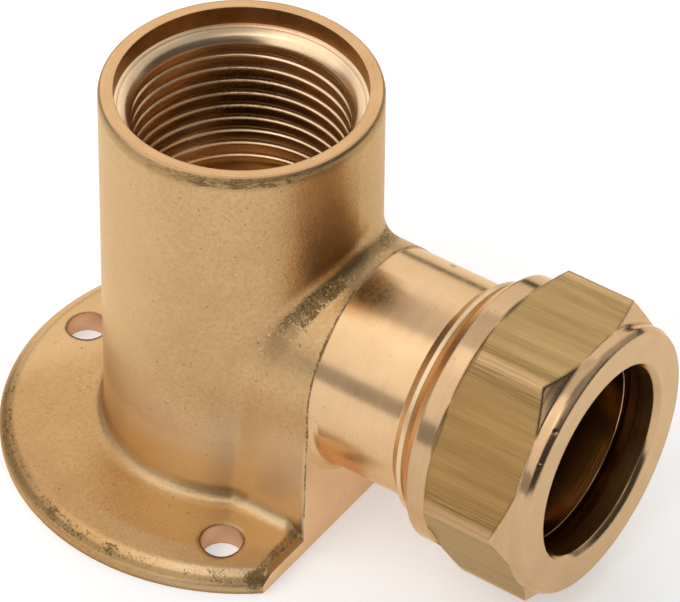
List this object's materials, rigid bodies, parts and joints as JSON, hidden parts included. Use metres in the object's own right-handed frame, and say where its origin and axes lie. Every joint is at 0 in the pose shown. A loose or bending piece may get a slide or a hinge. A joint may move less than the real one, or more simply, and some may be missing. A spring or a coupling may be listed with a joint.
{
  "type": "wall plate elbow",
  "caption": "Brass wall plate elbow: round screw-on flange, upright boss with a female pipe thread, and a side arm with a hexagon compression nut and ring that clamp a pipe.",
  "frame": {"origin": "centre of the flange's flat back face, on the axis of the threaded boss", "axes": "+Z out of the wall along the threaded boss, +X along the pipe arm"},
  "size_m": [0.0762, 0.056, 0.0497],
  "materials": {
    "forged_brass": "matte forged skin, turned arm and thread",
    "ring_brass": "turned, bright",
    "bar_brass": "drawn bar, satin, with turned ends"
  },
  "bodies": {
    "body": {"elbow_body": "forged_brass"},
    "ring": {"compression_ring": "ring_brass"},
    "nut": {"compression_nut": "bar_brass"}
  },
  "joints": [
    {"name": "ring_travel", "type": "slide", "parent": "body", "child": "ring", "axis": [1, 0, 0], "range_m": [0, 0.00413]},
    {"name": "nut_turn", "type": "hinge", "parent": "ring", "child": "nut", "pos_m": [0.04, 0, 0.0202], "axis": [1, 0, 0], "range_deg": [0, 990]}
  ],
  "couplings": [
    {"joint": "nut_turn", "follows": "ring_travel", "rad_per_m": 4188.8}
  ]
}
